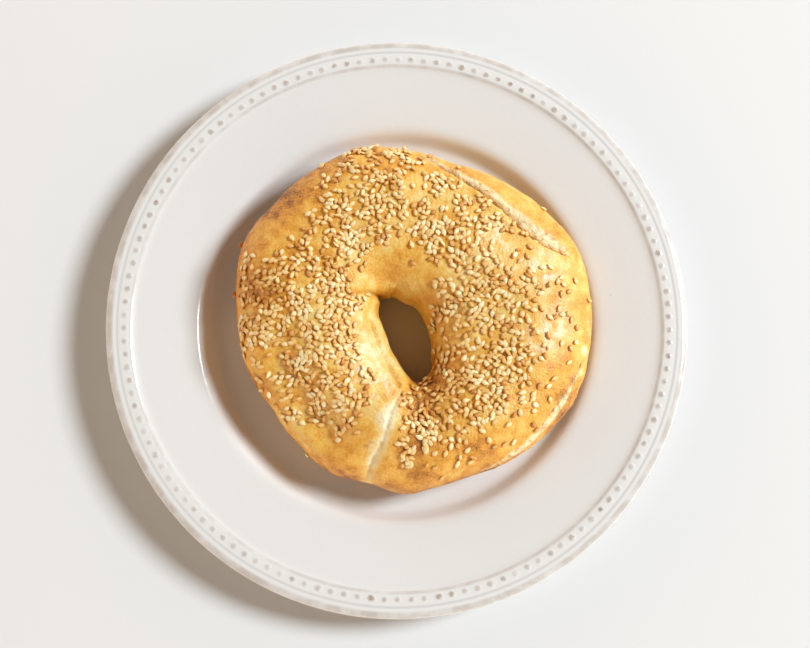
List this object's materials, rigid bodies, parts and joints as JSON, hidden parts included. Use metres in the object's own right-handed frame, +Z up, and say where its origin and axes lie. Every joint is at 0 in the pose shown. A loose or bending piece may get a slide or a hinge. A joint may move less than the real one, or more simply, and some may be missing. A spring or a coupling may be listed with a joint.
{
  "type": "bagel on a plate",
  "caption": "Hand-rolled sesame bagel with an off-centre slanted hole, resting in the well of a round stoneware plate with a beaded rim.",
  "frame": {"origin": "centre of the plate's foot, on the surface that the plate stands on", "axes": "+Z up out of the plate; the bagel's rope join lies towards -Y and its burst side towards +X"},
  "size_m": [0.217, 0.217, 0.042],
  "materials": {
    "glaze": "warm white gloss glaze, broken to brown on the beads, the ridge and the edge",
    "crust": "golden baked crust with a soft sheen, paler inside the hole and on the burst sides",
    "sesame": "toasted ivory hull with a soft sheen"
  },
  "bodies": {
    "root": {"plate": "glaze", "bagel": "crust", "sesame_seed_01": "sesame", "sesame_seed_02": "sesame", "sesame_seed_03": "sesame", "sesame_seed_04": "sesame", "sesame_seed_05": "sesame", "sesame_seed_06": "sesame", "sesame_seed_07": "sesame", "sesame_seed_08": "sesame", "sesame_seed_09": "sesame", "sesame_seed_10": "sesame", "sesame_seed_11": "sesame", "sesame_seed_12": "sesame", "sesame_seed_13": "sesame", "sesame_seed_14": "sesame", "sesame_seed_15": "sesame", "sesame_seed_16": "sesame", "sesame_seed_17": "sesame", "sesame_seed_18": "sesame", "sesame_seed_19": "sesame", "sesame_seed_20": "sesame", "sesame_seed_21": "sesame", "sesame_seed_22": "sesame", "sesame_seed_23": "sesame", "sesame_seed_24": "sesame", "sesame_seed_25": "sesame", "sesame_seed_26": "sesame", "sesame_seed_27": "sesame", "sesame_seed_28": "sesame", "sesame_seed_29": "sesame", "sesame_seed_30": "sesame", "sesame_seed_31": "sesame", "sesame_seed_32": "sesame", "sesame_seed_33": "sesame", "sesame_seed_34": "sesame", "sesame_seed_35": "sesame", "sesame_seed_36": "sesame", "sesame_seed_37": "sesame", "sesame_seed_38": "sesame", "sesame_seed_39": "sesame", "sesame_seed_40": "sesame", "sesame_seed_41": "sesame", "sesame_seed_42": "sesame", "sesame_seed_43": "sesame", "sesame_seed_44": "sesame", "sesame_seed_45": "sesame", "sesame_seed_46": "sesame", "sesame_seed_47": "sesame", "sesame_seed_48": "sesame"}
  },
  "joints": []
}
